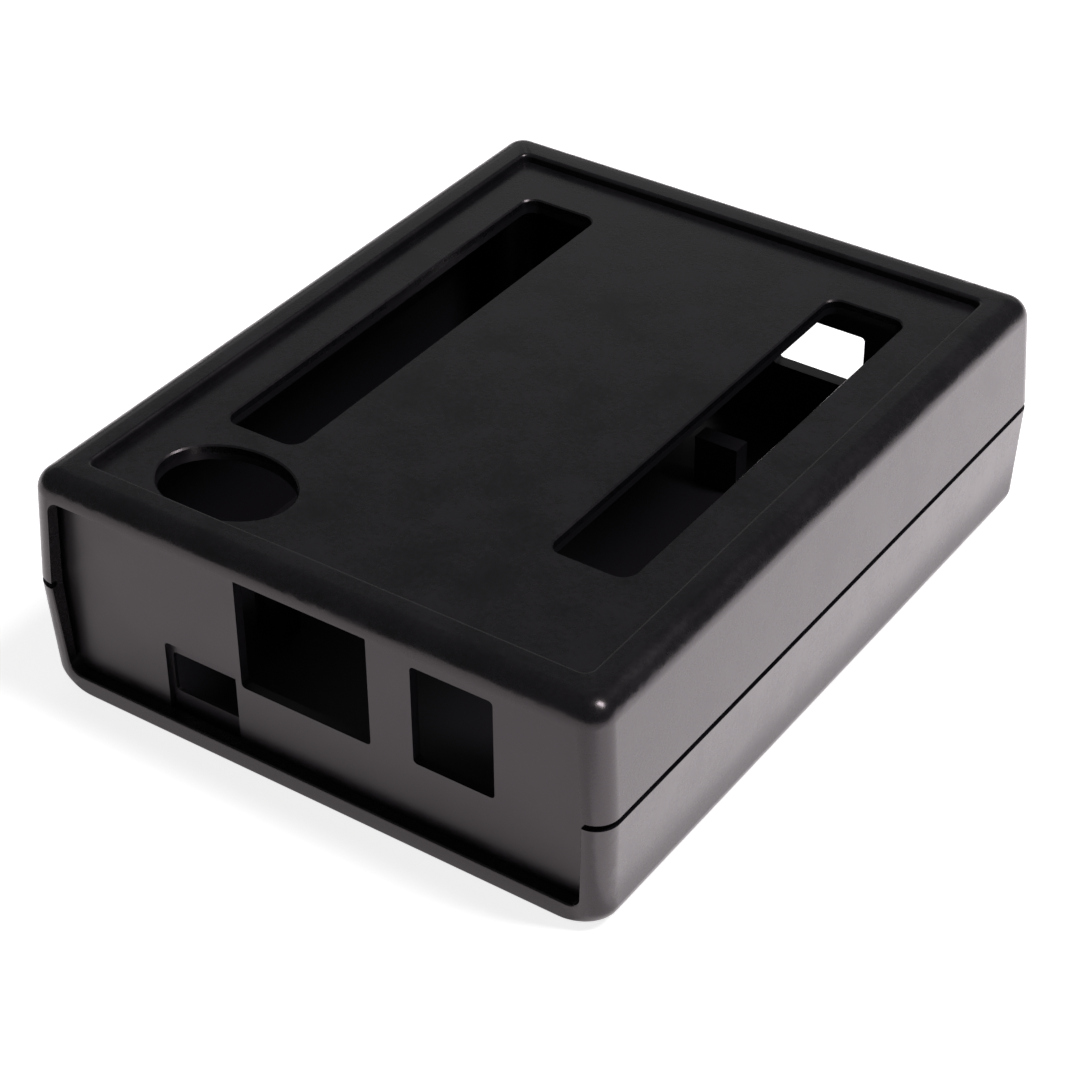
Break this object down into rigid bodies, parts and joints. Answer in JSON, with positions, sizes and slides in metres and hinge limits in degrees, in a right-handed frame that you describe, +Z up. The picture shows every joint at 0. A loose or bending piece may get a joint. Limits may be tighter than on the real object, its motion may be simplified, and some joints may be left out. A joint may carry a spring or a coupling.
{
  "type": "moulded plastic housing",
  "caption": "Moulded plastic housing for a small circuit board: a cover and a base that meet at a shadow line, a recessed slotted top, and end panels with connector openings.",
  "frame": {"origin": "centre of the underside of the case", "axes": "+Z up from the underside to the recessed top, -Y towards the end with the network, power and small usb openings, X across the case"},
  "size_m": [0.0844, 0.1046, 0.0329],
  "materials": {
    "case_plastic": "finely textured black",
    "panel_plastic": "finely textured black",
    "screw_steel": "zinc plated"
  },
  "bodies": {
    "root": {"top_cover": "case_plastic", "base": "case_plastic", "front_panel": "panel_plastic", "rear_panel": "panel_plastic", "case_screw_1": "screw_steel", "case_screw_2": "screw_steel", "case_screw_3": "screw_steel", "case_screw_4": "screw_steel"}
  },
  "joints": []
}
